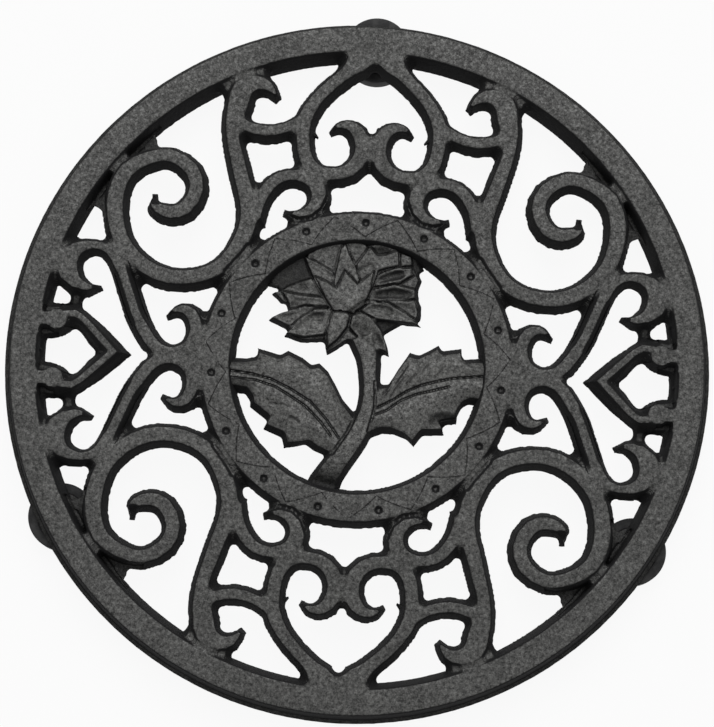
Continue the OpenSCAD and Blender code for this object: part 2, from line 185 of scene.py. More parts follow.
def lighten(piece, atCut=None):
    # keeps a piece under the triangle limit; the vertices at a cut stay where they are
    triangles = sum(len(face.vertices) - 2 for face in piece.data.polygons)
    if triangles > sandCast["mostTriangles"]:
        settings = {"ratio": sandCast["mostTriangles"] / triangles}
        if atCut:
            free = piece.vertex_groups.new(name="free")
            free.add(np.flatnonzero(~atCut(points(piece))).tolist(), 1.0, "REPLACE")
            settings["vertex_group"] = "free"
        finish(piece, "DECIMATE", **settings)
        piece.vertex_groups.clear()
    shadeSmooth(piece, sandCast["smoothAngle"])
    print(piece.name, "had", triangles, "triangles and has", len(piece.data.polygons), "faces")


def inMetres(line):
    # points given as shares of the rim's radius
    return [(px * rimRadius, py * rimRadius) for px, py in line]


def nearLine(x, y, line):
    # distance of each x, y to a line through given points, and how far along it lies
    nearest = np.full(x.shape, 1.0)
    along = np.zeros(x.shape)
    start = 0.0
    for (ax, ay), (bx, by) in zip(line, line[1:]):
        dx, dy = bx - ax, by - ay
        length = math.hypot(dx, dy)
        share = np.clip(((x - ax) * dx + (y - ay) * dy) / length ** 2, 0, 1)
        distance = np.hypot(x - ax - share * dx, y - ay - share * dy)
        closer = distance < nearest
        nearest = np.where(closer, distance, nearest)
        along = np.where(closer, start + share * length, along)
        start += length
    return nearest, along


def step(value):
    value = np.clip(value, 0, 1)
    return value * value * (3 - 2 * value)


def awayFrom(x, y, place):
    # distance to a point given in shares of the rim's radius
    return np.hypot(x - place[0] * rimRadius, y - place[1] * rimRadius)


def groove(distance, width):
    # a V, as a graver cuts it
    return np.clip(1 - np.abs(distance) / (1.6 * width), 0, 1)


def hollow(distance, width):
    # a soft trough
    return step(1.1 - 0.6 * distance / width)


carveFade = 0.8 * mm             # height over which a carved line fades out on a wall
quarterNumbers = (1, 2, 3, 4)
footNumbers = (1, 2, 3)
voxelScale = 1

# the rim, the scrollwork and the ring are poured as one
castingPiece = {
    "voxel": 0.36 * mm * voxelScale,
    "cutInset": 7.5 * mm,        # where the rim is parted from the scrollwork, from its outside
    "plug": 0.462,               # its place beside the ring, as a share of the rim's radius
    "plugRadius": 2.6 * mm,
    "plugShort": 0.3 * mm,       # how much lower than the bars it is
    "within": 1 * mm,            # a solid belongs to each quarter that it enters by more than this
}
scrollNodes = ["%s_%d" % (member, i)
               for member in ("corner_scroll", "heart_scroll", "side_scroll", "heart_tie", "hook_curl")
               for i in quarterNumbers] + ["chevron_right", "chevron_left", "medallion_ring"]
castScrollwork = copyOf(["rim"] + scrollNodes, "castScrollwork")


def plug(piece, x, y, radius):
    # a boss in a crevice that the casting has filled
    deselect()
    bpy.ops.mesh.primitive_cylinder_add(vertices=24, radius=radius,
                                        depth=castHeight - castingPiece["plugShort"],
                                        location=(x, y, castBack + castHeight / 2))
    bpy.ops.object.transform_apply(location=True, rotation=True, scale=True)
    bpy.context.object.select_set(True)
    piece.select_set(True)
    bpy.context.view_layer.objects.active = piece
    bpy.ops.object.join()


for side in (1, -1):             # between two side scrolls and the ring
    plug(castScrollwork, side * castingPiece["plug"] * rimRadius, 0, castingPiece["plugRadius"])
fuse(castScrollwork, castingPiece["voxel"], sandCast["fillet"])

ringPattern = {
    "count": 15,
    "dimpleRing": ringRadius - 4.5 * mm,
    "dimpleRadius": 0.95 * mm,
    "dimpleEdge": 1.3,                    # where its slope ends, in radii
    "dimpleDepth": 1.0 * mm,
    "below": 1.2 * mm,                    # only faces nearer than this to the top are carved
    "outer": ringRadius - 2.4 * mm,       # folds of the engraved zigzag, which the iron's material draws as a bump and a line of painted shade
    "inner": ringRadius - 8.6 * mm,
    "lineWidth": 0.2 * mm,
    "wearSize": 3 * mm,                   # patches in which the zigzag has worn away
    "wear": (0.3, 0.5),
}


def carveRing(piece):
    table = points(piece)
    x, y, z = table.T
    depth = np.zeros(x.shape)
    for i in range(ringPattern["count"]):
        angle = math.pi / 2 + i * 2 * math.pi / ringPattern["count"]
        away = np.hypot(x - ringPattern["dimpleRing"] * math.cos(angle),
                        y - ringPattern["dimpleRing"] * math.sin(angle))
        depth = np.maximum(depth, ringPattern["dimpleDepth"] * step(
            ringPattern["dimpleEdge"] - away / ringPattern["dimpleRadius"]))
    table[:, 2] -= depth * step((z - (castTop - ringPattern["below"])) / carveFade)
    setPoints(piece, table)


contactLines = {
    "depth": 0.9 * mm,
    "width": 0.5 * mm,
    "below": 1.4 * mm,
    # where members lie against the ring, in the upper right quarter: hook curl, side scroll, corner scroll
    "curls": [[(0.232, 0.440), (0.222, 0.417), (0.190, 0.408), (0.155, 0.414), (0.126, 0.440), (0.112, 0.478)],
              [(0.437, 0.100), (0.446, 0.122), (0.462, 0.142)],
              [(0.387, 0.248), (0.344, 0.302), (0.330, 0.325)]],
}
chevronEnd = {
    "knob": (0.853, 0.083),      # rounded end of a chevron's arm
    "radius": 2.9 * mm,
    "neck": 1.9 * mm,            # half the width of the bridge from the knob to the rim
    "neckStep": 0.1 * mm,
    "deepStep": 4.6 * mm,        # how far the rest between the knob and the rim lies below the top
    "arm": [(0.660, -0.030), (0.691, 0.002), (0.740, 0.051), (0.776, 0.087), (0.800, 0.102), (0.835, 0.098)],
    "armHalf": 0.95 * mm,        # half the width that an arm keeps at its top
    "armFall": 1.5,              # slope beside it
    "armReach": 3.6 * mm,
    "armDrop": 3 * mm,           # width over which it falls
    "reach": 9 * mm,             # of the space between the knob and the rim
    "before": 0.5 * mm,          # it starts this much before the knob's middle
    "intoRim": 1 * mm,
    "ramp": 0.6 * mm,            # width of the slopes down to it
    "rimRamp": 0.5 * mm,
    "web": (0.805, 0.146),       # joins an arm to the side scroll's curl
    "webRadius": 2.0 * mm,
    "webEdge": 1.5,              # where its slope ends, in radii
    "webDepth": 3.0 * mm,
}
cornerWeb = {
    # the corner scroll's outer edge is a circle where it comes near the rim
    "centre": (0.590, 0.438),
    "radius": 0.152,
    "middle": (0.715, 0.545),    # only here the web is as high as the rim
    "half": 3.2 * mm,
    "end": 16.0 * mm,
    "depth": 7.0 * mm,
    "ramp": 0.7 * mm,
    "endRamp": 1.2 * mm,
}
curlTips = {
    # in the upper right quarter, each with the way it points:
    # side scroll, side hook, heart curl, tie, corner scroll, ring hook
    "places": [(0.737, 0.181, -0.97, 0.24), (0.542, 0.107, 0.86, -0.51), (0.268, 0.745, -0.35, -0.94),
               (0.119, 0.666, 0.71, -0.71), (0.600, 0.449, 0.0, 1.0), (0.230, 0.435, 0.96, 0.29)],
    "reach": 2.6 * mm,
    "depth": 3.2 * mm,
    "taper": 3.8 * mm,           # length over which a tip narrows
    "narrow": 0.42,              # and how much of its width it loses
    "past": 0.4 * mm,            # the taper ends this much beyond the place
    "after": 3 * mm,             # and its narrow end goes on for this length
    "halfWidth": 3.1 * mm,
}
softSpots = {
    # x, y and radius of the corners that are rounded seen from above
    "places": [(0.0, 0.866, 3.0 * mm), (0.0, 0.600, 1.8 * mm), (0.0, 0.655, 1.8 * mm), (0.623, 0.607, 2.8 * mm)],
    "passes": 40,
}
slenderBars = {
    # middle lines of the side scrolls' thin stretches, in the upper right quarter
    "lines": [[(0.691, 0.253), (0.680, 0.235), (0.635, 0.120), (0.610, 0.072)]],
    "half": 1.2 * mm,            # half the width that they keep at their top
    "fall": 1.2,                 # slope beside it, and the width over which it falls
    "drop": 1.2 * mm,
    "reach": 2.6 * mm,
    "fade": 4.0 * mm,            # at both ends
}
rimLand = {
    "top": 1.9 * mm,             # height of the lip round the rim's back
    "width": 0.8 * mm,           # how much wider it is than the solid's
    "ramp": 0.5 * mm,            # height over which the wall comes in
    "reach": 5 * mm,             # the wall and what lies behind it, to this depth, move in
    "reachRamp": 2.5 * mm,
}


def sinkTops(piece, depth):
    # lowers the tops by a depth and leaves the back where it is
    table = points(piece)
    table[:, 2] -= depth * np.clip((table[:, 2] - castBack) / castHeight, 0, 1)
    setPoints(piece, table)


def carveContacts(piece):
    # fine dark lines where a member lies against its neighbour
    table = points(piece)
    x, y, z = table.T
    top = step((z - (castTop - contactLines["below"])) / carveFade)
    depth = np.zeros(x.shape)
    for curl in contactLines["curls"]:
        distance, along = nearLine(np.abs(x), np.abs(y), inMetres(curl))
        depth = np.maximum(depth, contactLines["depth"] * groove(distance, contactLines["width"]))
    table[:, 2] -= depth * top
    setPoints(piece, table)


def shapeChevrons(piece):
    table = points(piece)
    x, y = np.abs(table[:, 0]), np.abs(table[:, 1])
    radius = np.hypot(x, y)
    knobX, knobY = (share * rimRadius for share in chevronEnd["knob"])
    away = awayFrom(x, y, chevronEnd["knob"])
    between = (x > knobX - chevronEnd["before"]) & (away < chevronEnd["reach"])
    between &= radius < rimInside + chevronEnd["intoRim"]
    ramp = chevronEnd["ramp"]
    beside = step((np.abs(y - knobY) - chevronEnd["neck"]) / ramp)
    low = chevronEnd["neckStep"] + (chevronEnd["deepStep"] - chevronEnd["neckStep"]) * beside
    low = low * step((away - chevronEnd["radius"]) / ramp) * step((rimInside - radius) / chevronEnd["rimRamp"])
    low = np.where(between, low, 0)
    distance, along = nearLine(x, y, inMetres(chevronEnd["arm"]))
    beyond = np.minimum(distance - chevronEnd["armHalf"], away - chevronEnd["radius"])
    fall = chevronEnd["armFall"] * np.clip(beyond, 0, chevronEnd["armDrop"])
    low = np.maximum(low, np.where((distance < chevronEnd["armReach"]) & ~between, fall, 0))
    for line in slenderBars["lines"]:
        line = inMetres(line)
        distance, along = nearLine(x, y, line)
        length = sum(math.dist(a, b) for a, b in zip(line, line[1:]))
        fade = step(along / slenderBars["fade"]) * step((length - along) / slenderBars["fade"])
        fall = slenderBars["fall"] * np.clip(distance - slenderBars["half"], 0, slenderBars["drop"]) * fade
        low = np.maximum(low, np.where(distance < slenderBars["reach"], fall, 0))
    toWeb = awayFrom(x, y, chevronEnd["web"])
    low = np.maximum(low, chevronEnd["webDepth"] * step(
        chevronEnd["webEdge"] - toWeb / chevronEnd["webRadius"]))
    sinkTops(piece, low)


def lowerWebs(piece):
    # between the corner scrolls and the rim, and at the tips of the curls
    table = points(piece)
    x, y = np.abs(table[:, 0]), np.abs(table[:, 1])
    web = cornerWeb
    outside = awayFrom(x, y, web["centre"]) - web["radius"] * rimRadius
    away = awayFrom(x, y, web["middle"])
    inside = rimInside - np.hypot(x, y)
    low = web["depth"] * step(outside / web["ramp"]) * step(inside / web["ramp"])
    low = np.where(away < web["end"], low * step((away - web["half"]) / web["endRamp"]), 0)
    for tip in curlTips["places"]:
        low = np.maximum(low, curlTips["depth"] * step(1 - awayFrom(x, y, tip) / curlTips["reach"]))
    sinkTops(piece, low)


def narrowTips(piece):
    table = points(piece)
    signs = np.where(table[:, :2] < 0, -1, 1)
    place = np.abs(table[:, :2])
    taper = curlTips["taper"]
    for px, py, towardX, towardY in curlTips["places"]:
        toward, sideways = np.array([towardX, towardY]), np.array([-towardY, towardX])
        start = np.array([px, py]) * rimRadius - toward * (taper - curlTips["past"])
        along, across = (place - start) @ toward, (place - start) @ sideways
        near = (along > 0) & (along < taper + curlTips["after"]) & (np.abs(across) < curlTips["halfWidth"])
        moved = np.where(near, across * curlTips["narrow"] * np.clip(along / taper, 0, 1), 0)
        place = place - moved[:, None] * sideways
    table[:, :2] = place * signs
    setPoints(piece, table)


def softenCorners(piece):
    x, y = np.abs(points(piece)[:, :2].T)
    chosen = np.zeros(x.shape, bool)
    for px, py, radius in softSpots["places"]:
        chosen |= awayFrom(x, y, (px, py)) < radius
    soft = piece.vertex_groups.new(name="soft")
    soft.add(np.flatnonzero(chosen).tolist(), 1.0, "REPLACE")
    finish(piece, "SMOOTH", factor=0.5, iterations=softSpots["passes"], use_z=False, vertex_group="soft")
    piece.vertex_groups.clear()


def widenRimLand(piece):
    # the wall above the lip stands further in, all round
    table = points(piece)
    radius = np.hypot(table[:, 0], table[:, 1])
    above = step((table[:, 2] - rimBack - rimLand["top"]) / rimLand["ramp"])
    outside = step((radius - rimRadius + rimLand["reach"]) / rimLand["reachRamp"])
    table[:, :2] *= (1 - rimLand["width"] * above * outside / radius)[:, None]
    setPoints(piece, table)


narrowTips(castScrollwork)
softenCorners(castScrollwork)
widenRimLand(castScrollwork)
shapeChevrons(castScrollwork)
lowerWebs(castScrollwork)
carveContacts(castScrollwork)
carveRing(castScrollwork)
roughen(castScrollwork)


def part(piece, radius, name):
    # separates what lies outside a radius, and closes the wall of the cut in both pieces
    pick(piece)
    bpy.ops.object.mode_set(mode="EDIT")
    bpy.ops.mesh.select_mode(type="FACE")
    selectFaces(piece, lambda at, normal: math.hypot(at.x, at.y) > radius)
    bpy.ops.mesh.separate(type="SELECTED")
    bpy.ops.object.mode_set(mode="OBJECT")
    outer = [found for found in bpy.context.selected_objects if found != piece][0]
    rename(outer, name)
    for half in (piece, outer):
        pick(half)
        bpy.ops.object.mode_set(mode="EDIT")
        bpy.ops.mesh.select_mode(type="EDGE")
        bpy.ops.mesh.select_all(action="DESELECT")
        bpy.ops.mesh.select_non_manifold(extend=False, use_wire=False, use_boundary=True,
                                         use_multi_face=False, use_non_contiguous=False, use_verts=False)
        bpy.ops.mesh.bridge_edge_loops()
        bpy.ops.object.mode_set(mode="OBJECT")
    return outer


def quarter(piece, xSide, ySide, name):
    # a copy of what lies in one quarter, closed where it is cut
    pick(piece)
    bpy.ops.object.duplicate()
    made = bpy.context.object
    rename(made, name)
    for normal in ((xSide, 0, 0), (0, ySide, 0)):
        bpy.ops.object.mode_set(mode="EDIT")
        bpy.ops.mesh.select_all(action="SELECT")
        bpy.ops.mesh.bisect(plane_co=(0, 0, 0), plane_no=normal, use_fill=True, clear_inner=True,
                            threshold=onCut)
        bpy.ops.object.mode_set(mode="OBJECT")
    return made


def selectFaces(piece, test):
    # in edit mode: leaves selected only the faces whose centre and normal pass the test
    bpy.ops.object.mode_set(mode="OBJECT")
    for face in piece.data.polygons:
        face.select = test(face.center, face.normal)
    bpy.ops.object.mode_set(mode="EDIT")


cutRadius = rimRadius - castingPiece["cutInset"]
onCut = 0.02 * mm                # how near a vertex lies to a straight cut
onRimCut = 0.8 * mm              # and to the round one, whose edge follows the faces


def atRimCut(table):
    return np.abs(np.hypot(table[:, 0], table[:, 1]) - cutRadius) < onRimCut


def atAnyCut(table):
    return atRimCut(table) | (np.abs(table[:, :2]).min(axis=1) < onCut)


castRim = part(castScrollwork, cutRadius, "castRim")
lighten(castRim, atRimCut)
castQuarters = []
for name, xSide, ySide in (("upperRightScrolls", 1, 1), ("upperLeftScrolls", -1, 1),
                           ("lowerLeftScrolls", -1, -1), ("lowerRightScrolls", 1, -1)):
    scrolls = quarter(castScrollwork, xSide, ySide, name)
    lighten(scrolls, atAnyCut)
    # it stands for the solids that reach into its quarter
    corners = {node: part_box(node) for node in scrollNodes}
    least = castingPiece["within"]
    within = [node for node, (low, high) in corners.items()
              if max(low[0] * xSide, high[0] * xSide) > least and max(low[1] * ySide, high[1] * ySide) > least]
    castQuarters.append((scrolls, within))
pick(castScrollwork)
bpy.ops.object.delete()
print("scrollwork cast")

# the pegs that the rubber feet sit on
pegPiece = {
    "edge": 0.4 * mm,
    "bevelAngle": 60,
    "smoothAngle": 40,
}
castPegs = copyOf(["foot_peg_%d" % i for i in footNumbers], "castPegs")
bevel(castPegs, pegPiece["edge"], 3, pegPiece["bevelAngle"])
shadeSmooth(castPegs, pegPiece["smoothAngle"])

# the flower's petals, from the lowest to the highest: the kind of petal, then its outline.
# Outline points are shares of the rim's radius.
flowerHead = {
    "grid": 0.22 * mm * voxelScale,
    "spread": 1.06,              # how much wider the back is than the face
    "middle": (-0.045, 0.195),
    "plate": {"level": 2.3 * mm, "lift": 0.2 * mm, "hollow": 0.0},
    "back": {"level": 3.9 * mm, "lift": 0.3 * mm, "hollow": 0.25 * mm},
    "side": {"level": 4.4 * mm, "lift": 0.6 * mm, "hollow": 1.0 * mm},
    "second": {"level": 4.8 * mm, "lift": 0.6 * mm, "hollow": 0.8 * mm},
    "crown": {"level": 5.0 * mm, "lift": 0.5 * mm, "hollow": 0.3 * mm},
    "front": {"level": 5.5 * mm, "lift": 0.6 * mm, "hollow": -0.2 * mm},
    # what lies under the petals
    "bed": [(-0.20, 0.10), (-0.06, 0.09), (0.06, 0.10), (0.12, 0.14), (0.12, 0.24), (0.10, 0.30),
            (0.06, 0.34), (-0.12, 0.34), (-0.17, 0.29), (-0.20, 0.22)],
    "bedLevel": 2.6 * mm,
    "border": 0.5 * mm,          # width of a petal's raised border
    "hollowReach": 1.5 * mm,
    "grooveDepth": 1.0 * mm,     # shadow line that a petal leaves on those behind it
    "grooveWidth": 0.42 * mm,
    "grooveFrom": 2.2 * mm,      # and only this far above the back
    "grooveFade": 1 * mm,
    "petals": [
        ("plate", [(-0.264, 0.219), (-0.244, 0.275), (-0.179, 0.325), (-0.144, 0.29), (-0.123, 0.228),
                   (-0.201, 0.206)]),
        ("plate", [(0.068, 0.355), (0.143, 0.335), (0.165, 0.285), (0.108, 0.254), (0.05, 0.279)]),
        ("back", [(-0.162, 0.313), (-0.118, 0.340), (-0.061, 0.358), (-0.060, 0.329), (-0.070, 0.255),
                  (-0.115, 0.275)]),
        ("back", [(-0.05, 0.358), (-0.019, 0.358), (0.016, 0.348), (0.005, 0.30), (-0.019, 0.270)]),
        ("back", [(0.010, 0.350), (0.047, 0.358), (0.100, 0.341), (0.110, 0.293), (0.043, 0.26)]),
        ("back", [(0.105, 0.335), (0.134, 0.325), (0.140, 0.300), (0.105, 0.295)]),
        ("back", [(-0.249, 0.200), (-0.224, 0.207), (-0.206, 0.223), (-0.145, 0.246), (-0.100, 0.225),
                  (-0.083, 0.170), (-0.175, 0.180), (-0.215, 0.170)]),
        ("back", [(0.138, 0.295), (0.160, 0.258), (0.151, 0.230), (0.091, 0.225), (0.030, 0.225),
                  (0.042, 0.274)]),
        ("back", [(0.151, 0.209), (0.162, 0.187), (0.161, 0.153), (0.125, 0.150), (0.070, 0.180),
                  (0.028, 0.193)]),
        ("back", [(-0.208, 0.085), (-0.155, 0.069), (-0.095, 0.075), (-0.083, 0.117), (-0.09, 0.155),
                  (-0.159, 0.129)]),
        ("back", [(-0.098, 0.085), (-0.087, 0.038), (-0.060, 0.055), (-0.035, 0.075), (-0.005, 0.085),
                  (0.020, 0.110), (0.040, 0.150), (-0.019, 0.165), (-0.074, 0.160)]),
        ("side", [(-0.223, 0.203), (-0.175, 0.196), (-0.104, 0.192), (-0.080, 0.165), (-0.140, 0.160),
                  (-0.195, 0.145), (-0.205, 0.172)]),
        ("side", [(-0.253, 0.126), (-0.222, 0.144), (-0.157, 0.165), (-0.085, 0.165), (-0.120, 0.140),
                  (-0.171, 0.120), (-0.198, 0.103)]),
        ("side", [(0.040, 0.265), (0.092, 0.290), (0.138, 0.292), (0.143, 0.272), (0.103, 0.244),
                  (0.030, 0.232)]),
        ("side", [(0.025, 0.222), (0.091, 0.241), (0.152, 0.230), (0.153, 0.205), (0.106, 0.190),
                  (0.020, 0.190)]),
        ("side", [(0.015, 0.170), (0.074, 0.194), (0.152, 0.200), (0.164, 0.164), (0.160, 0.145),
                  (0.120, 0.155)]),
        ("second", [(0.020, 0.185), (0.074, 0.188), (0.125, 0.164), (0.168, 0.130), (0.101, 0.134),
                    (0.052, 0.137), (0.005, 0.150), (0.000, 0.170)]),
        ("second", [(-0.207, 0.083), (-0.171, 0.127), (-0.131, 0.156), (-0.080, 0.160), (-0.075, 0.115),
                    (-0.098, 0.085), (-0.155, 0.074)]),
        ("second", [(-0.025, 0.152), (0.006, 0.154), (0.036, 0.139), (0.062, 0.110), (0.077, 0.075),
                    (0.084, 0.044), (0.040, 0.062), (0.000, 0.085), (-0.027, 0.110)]),
        ("crown", [(0.015, 0.345), (0.041, 0.322), (0.098, 0.338), (0.102, 0.296), (0.045, 0.278), (0.020, 0.200),
                   (-0.030, 0.210), (-0.022, 0.289)]),
        ("crown", [(-0.168, 0.307), (-0.125, 0.288), (-0.080, 0.264), (-0.055, 0.225), (-0.060, 0.160),
                   (-0.110, 0.200), (-0.146, 0.258)]),
        ("crown", [(-0.054, 0.352), (-0.040, 0.320), (-0.024, 0.291), (-0.008, 0.245), (-0.015, 0.200),
                   (-0.080, 0.200), (-0.078, 0.262), (-0.068, 0.332)]),
        ("front", [(-0.070, 0.165), (-0.045, 0.165), (-0.028, 0.144), (-0.034, 0.110), (-0.060, 0.072),
                   (-0.087, 0.048), (-0.092, 0.090), (-0.086, 0.130)]),
        ("front", [(-0.133, 0.247), (-0.100, 0.236), (-0.071, 0.219), (-0.060, 0.245), (-0.050, 0.269),
                   (-0.032, 0.252), (-0.014, 0.233), (0.008, 0.252), (0.029, 0.273), (0.028, 0.225),
                   (0.012, 0.180), (-0.019, 0.152), (-0.049, 0.156), (-0.078, 0.156), (-0.102, 0.189)]),
    ],
}


def insideOutline(x, y, outline):
    inside = np.zeros(x.shape, bool)
    for (ax, ay), (bx, by) in zip(outline, outline[1:] + outline[:1]):
        if ay != by:
            crossing = (ay > y) != (by > y)
            inside ^= crossing & (x < (bx - ax) * (y - ay) / (by - ay) + ax)
    return inside


def makeFlowerHead():
    outlines = [(kind, inMetres(outline)) for kind, outline in flowerHead["petals"]]
    xs = [px for kind, outline in outlines for px, py in outline]
    ys = [py for kind, outline in outlines for px, py in outline]
    width, depth = max(xs) - min(xs), max(ys) - min(ys)
    centre = ((max(xs) + min(xs)) / 2, (max(ys) + min(ys)) / 2)
    deselect()
    bpy.ops.mesh.primitive_grid_add(x_subdivisions=round(width / flowerHead["grid"]),
                                    y_subdivisions=round(depth / flowerHead["grid"]),
                                    size=1, location=(centre[0], centre[1], castBack))
    head = bpy.context.object
    head.name = "flowerHead"
    head.scale = (width, depth, 1)
    bpy.ops.object.transform_apply(location=True, rotation=True, scale=True)
    table = points(head)
    x, y = table[:, 0], table[:, 1]
    height = np.zeros(x.shape)
    height = np.where(insideOutline(x, y, inMetres(flowerHead["bed"])), flowerHead["bedLevel"], height)
    for kind, outline in outlines:
        form = flowerHead[kind]
        edge, along = nearLine(x, y, outline + outline[:1])
        rise = form["level"] + form["lift"] * step(edge / flowerHead["border"]) - form["hollow"] * step(
            (edge - flowerHead["border"]) / flowerHead["hollowReach"])
        height = np.where(insideOutline(x, y, outline), np.maximum(height, rise), height)
    table[:, 2] = castBack + height
    setPoints(head, table)
    bpy.ops.object.mode_set(mode="EDIT")
    bpy.ops.mesh.select_mode(type="VERT")
    bpy.ops.mesh.select_all(action="DESELECT")
    bpy.ops.object.mode_set(mode="OBJECT")
    head.data.vertices.foreach_set("select", height == 0)
    bpy.ops.object.mode_set(mode="EDIT")
    bpy.ops.mesh.delete(type="VERT")
    bpy.ops.mesh.select_all(action="SELECT")
    bpy.ops.mesh.extrude_region_move(TRANSFORM_OT_translate={"value": (0, 0, -1 * mm)})
    bpy.ops.object.mode_set(mode="OBJECT")
    moved = np.empty(len(head.data.vertices), bool)
    head.data.vertices.foreach_get("select", moved)
    table = points(head)
    middle = np.array(flowerHead["middle"]) * rimRadius
    table[moved, :2] = middle + (table[moved, :2] - middle) * flowerHead["spread"]
    table[moved, 2] = castBack
    setPoints(head, table)
    bpy.ops.object.mode_set(mode="EDIT")
    bpy.ops.mesh.select_all(action="SELECT")
    bpy.ops.mesh.normals_make_consistent(inside=False)
    bpy.ops.object.mode_set(mode="OBJECT")
    return head


def carvePetals(piece):
    # the dark line round each petal, cut into those that lie behind it
    table = points(piece)
    x, y, z = table.T
    outlines = [inMetres(outline) for kind, outline in flowerHead["petals"]]
    inside = [insideOutline(x, y, outline) for outline in outlines]
    cover = np.full(x.shape, -1)
    for i, covered in enumerate(inside):
        cover[covered] = i
    depth = np.zeros(x.shape)
    for i, outline in enumerate(outlines):
        distance, along = nearLine(x, y, outline + outline[:1])
        line = flowerHead["grooveDepth"] * groove(distance, flowerHead["grooveWidth"])
        depth = np.where((cover < i) & (cover >= 0), np.maximum(depth, line), depth)
    table[:, 2] -= depth * step((z - castBack - flowerHead["grooveFrom"]) / flowerHead["grooveFade"])
    setPoints(piece, table)


flowerPiece = {
    "voxel": 0.25 * mm * voxelScale,
    "fillet": 0.25 * mm,
    "reach": 1.2 * mm,           # how far the leaves and the stem run into the ring
    "roughness": 0.5,
    "carveFrom": 2.4 * mm,       # lines are carved only this far above the back
    # grooves, as shares of the rim's radius: their lines, then depth and width
    "lines": [
        # along the left leaf's midrib, above and below it
        ([(-0.361, -0.031), (-0.298, -0.037), (-0.241, -0.048), (-0.183, -0.073), (-0.124, -0.106),
          (-0.079, -0.151), (-0.039, -0.203)], 0.8 * mm, 0.26 * mm),
        ([(-0.361, -0.050), (-0.283, -0.054), (-0.225, -0.070), (-0.181, -0.094), (-0.137, -0.120),
          (-0.093, -0.161), (-0.062, -0.198)], 0.8 * mm, 0.26 * mm),
        # along the right leaf's
        ([(0.062, -0.113), (0.104, -0.088), (0.144, -0.060), (0.182, -0.041), (0.226, -0.027), (0.270, -0.016),
          (0.330, -0.008), (0.354, -0.005)], 0.8 * mm, 0.26 * mm),
        ([(0.055, -0.133), (0.090, -0.118), (0.127, -0.088), (0.168, -0.068), (0.213, -0.055), (0.262, -0.040)],
         0.8 * mm, 0.26 * mm),
        # folds of the right leaf
        ([(0.090, -0.073), (0.140, 0.014)], 0.6 * mm, 0.4 * mm),
        ([(0.103, -0.078), (0.138, -0.021)], 0.5 * mm, 0.4 * mm),
        ([(0.149, -0.039), (0.182, 0.002), (0.193, 0.018)], 0.7 * mm, 0.6 * mm),
        ([(0.225, -0.016), (0.253, 0.019)], 0.5 * mm, 0.45 * mm),
        # veins of the left leaf
        ([(-0.236, -0.119), (-0.191, -0.123)], 0.4 * mm, 0.35 * mm),
        ([(-0.177, -0.155), (-0.157, -0.166)], 0.6 * mm, 0.45 * mm),
        # where the stem lies over the leaves
        ([(0.053, -0.040), (0.056, -0.080), (0.057, -0.110), (0.051, -0.140),
          (0.042, -0.180)], 0.9 * mm, 0.35 * mm),
        ([(-0.002, -0.155), (-0.015, -0.185), (-0.033, -0.214), (-0.055, -0.250)], 0.9 * mm, 0.4 * mm),
    ],
    # soft hollows of the petals and of the right leaf's edge, in the same way
    "hollows": [
        ([(0.226, -0.138), (0.246, -0.130), (0.285, -0.134)], 1.2 * mm, 1.3 * mm),
        ([(0.056, 0.212), (0.088, 0.216), (0.126, 0.210)], 1.0 * mm, 1.3 * mm),
        ([(0.049, 0.251), (0.077, 0.266), (0.106, 0.270)], 0.8 * mm, 0.9 * mm),
        ([(-0.190, 0.163), (-0.169, 0.156), (-0.144, 0.160)], 0.8 * mm, 0.9 * mm),
        ([(-0.158, 0.123), (-0.138, 0.135), (-0.114, 0.136)], 0.8 * mm, 0.9 * mm),
        ([(0.042, 0.173), (0.080, 0.163)], 0.7 * mm, 0.8 * mm),
        ([(-0.008, 0.109), (0.021, 0.099), (0.056, 0.067)], 1.0 * mm, 1.3 * mm),
        ([(-0.148, 0.285), (-0.114, 0.271), (-0.088, 0.249)], 0.7 * mm, 0.7 * mm),
        ([(-0.006, 0.271), (0.020, 0.287)], 0.8 * mm, 0.9 * mm),
        ([(0.019, 0.332), (0.061, 0.334)], 0.8 * mm, 1.0 * mm),
        ([(-0.024, 0.153), (0.014, 0.184)], 0.8 * mm, 0.8 * mm),
        ([(-0.202, 0.227), (-0.169, 0.221)], 0.8 * mm, 1.0 * mm),
    ],
    "footFrom": 27.5 * mm,       # the stem falls away towards the ring, from this radius to the next
    "footTo": 33.8 * mm,
    "footFall": 3.6 * mm,
    "footBelow": -0.2,           # and only below this share of the rim's radius
    "stemHeight": 5.5 * mm,
}


def carveLeaves(piece):
    table = points(piece)
    x, y, z = table.T
    top = step((z - (castBack + flowerPiece["carveFrom"])) / carveFade)
    depth = np.zeros(x.shape)
    for line, deep, width in flowerPiece["lines"]:
        distance, along = nearLine(x, y, inMetres(line))
        depth = np.maximum(depth, deep * groove(distance, width))
    for line, deep, width in flowerPiece["hollows"]:
        distance, along = nearLine(x, y, inMetres(line))
        depth = np.maximum(depth, deep * hollow(distance, width))
    table[:, 2] -= depth * top
    # the stem's foot
    radius = np.hypot(x, y)
    reach = np.clip((radius - flowerPiece["footFrom"]) / (flowerPiece["footTo"] - flowerPiece["footFrom"]), 0, 1)
    onFoot = (x < 0) & (y < flowerPiece["footBelow"] * rimRadius)
    share = np.clip((z - castBack) / flowerPiece["stemHeight"], 0, 1)
    table[:, 2] -= np.where(onFoot, flowerPiece["footFall"] * reach * share, 0)
    setPoints(piece, table)


def reachIntoRing(piece):
    # what meets the ring's bore goes a little further, into the ring
    table = points(piece)
    radius = np.hypot(table[:, 0], table[:, 1])
    onBore = radius > ringBore
    table[onBore, :2] *= (1 + flowerPiece["reach"] / radius[onBore])[:, None]
    setPoints(piece, table)


